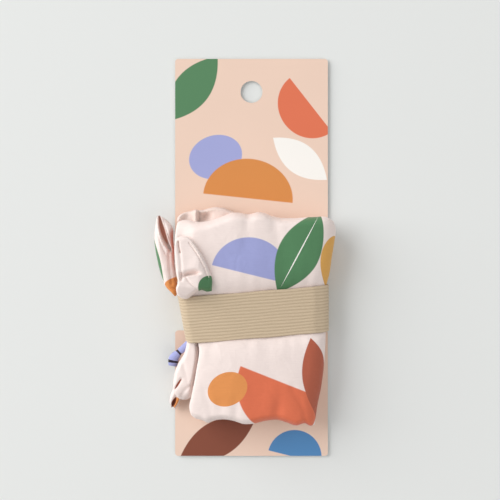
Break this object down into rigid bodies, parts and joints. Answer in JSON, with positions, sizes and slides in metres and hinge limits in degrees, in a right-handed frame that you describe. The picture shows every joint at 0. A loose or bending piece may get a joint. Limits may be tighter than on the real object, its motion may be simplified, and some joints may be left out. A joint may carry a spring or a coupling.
{
  "type": "foldable tote bag",
  "caption": "Thin printed fabric tote bag folded into a puffy bundle and held on a notched header card with a hang hole by a wide elastic loop.",
  "frame": {"origin": "centre of the elastic band's flat rear run, on its rear face, which the part rests on", "axes": "+Y up the card towards the hang hole, +Z out of the front of the bundle, +X to the right seen from the front"},
  "size_m": [0.1003, 0.221, 0.0315],
  "materials": {
    "printed_card": "matte uncoated board, printed",
    "woven_elastic": "woven rib elastic, matte",
    "printed_cloth": "thin plain-weave polyester, soft sheen, printed",
    "binding_tape": "thin printed polyester tape, soft sheen"
  },
  "bodies": {
    "bag": {"front_panel": "printed_cloth", "bottom_panel": "printed_cloth", "back_panel": "printed_cloth", "right_gusset": "printed_cloth", "left_gusset": "printed_cloth", "mouth_facing": "printed_cloth", "mouth_binding": "binding_tape"},
    "card": {"header_card": "printed_card"},
    "band": {"elastic_band": "woven_elastic"},
    "upper_loop": {"upper_handle": "printed_cloth"},
    "draped_loop": {"draped_handle": "printed_cloth"}
  },
  "joints": [
    {"name": "band_slide", "type": "slide", "parent": "bag", "child": "band", "axis": [0, -1, 0], "range_m": [0, 0.102], "deforming": ["elastic_band"]},
    {"name": "card_slide", "type": "slide", "parent": "bag", "child": "card", "axis": [0, 1, 0], "range_m": [0, 0.14]},
    {"name": "upper_handle_lift", "type": "hinge", "parent": "bag", "child": "upper_loop", "pos_m": [-0.0417, 0.028, 0.01822], "axis": [0, 1, 0], "range_deg": [0, 80]},
    {"name": "draped_handle_lift", "type": "hinge", "parent": "bag", "child": "draped_loop", "pos_m": [-0.037, 0.041, 0.0259], "axis": [-1, 0, 0], "range_deg": [0, 70]}
  ]
}
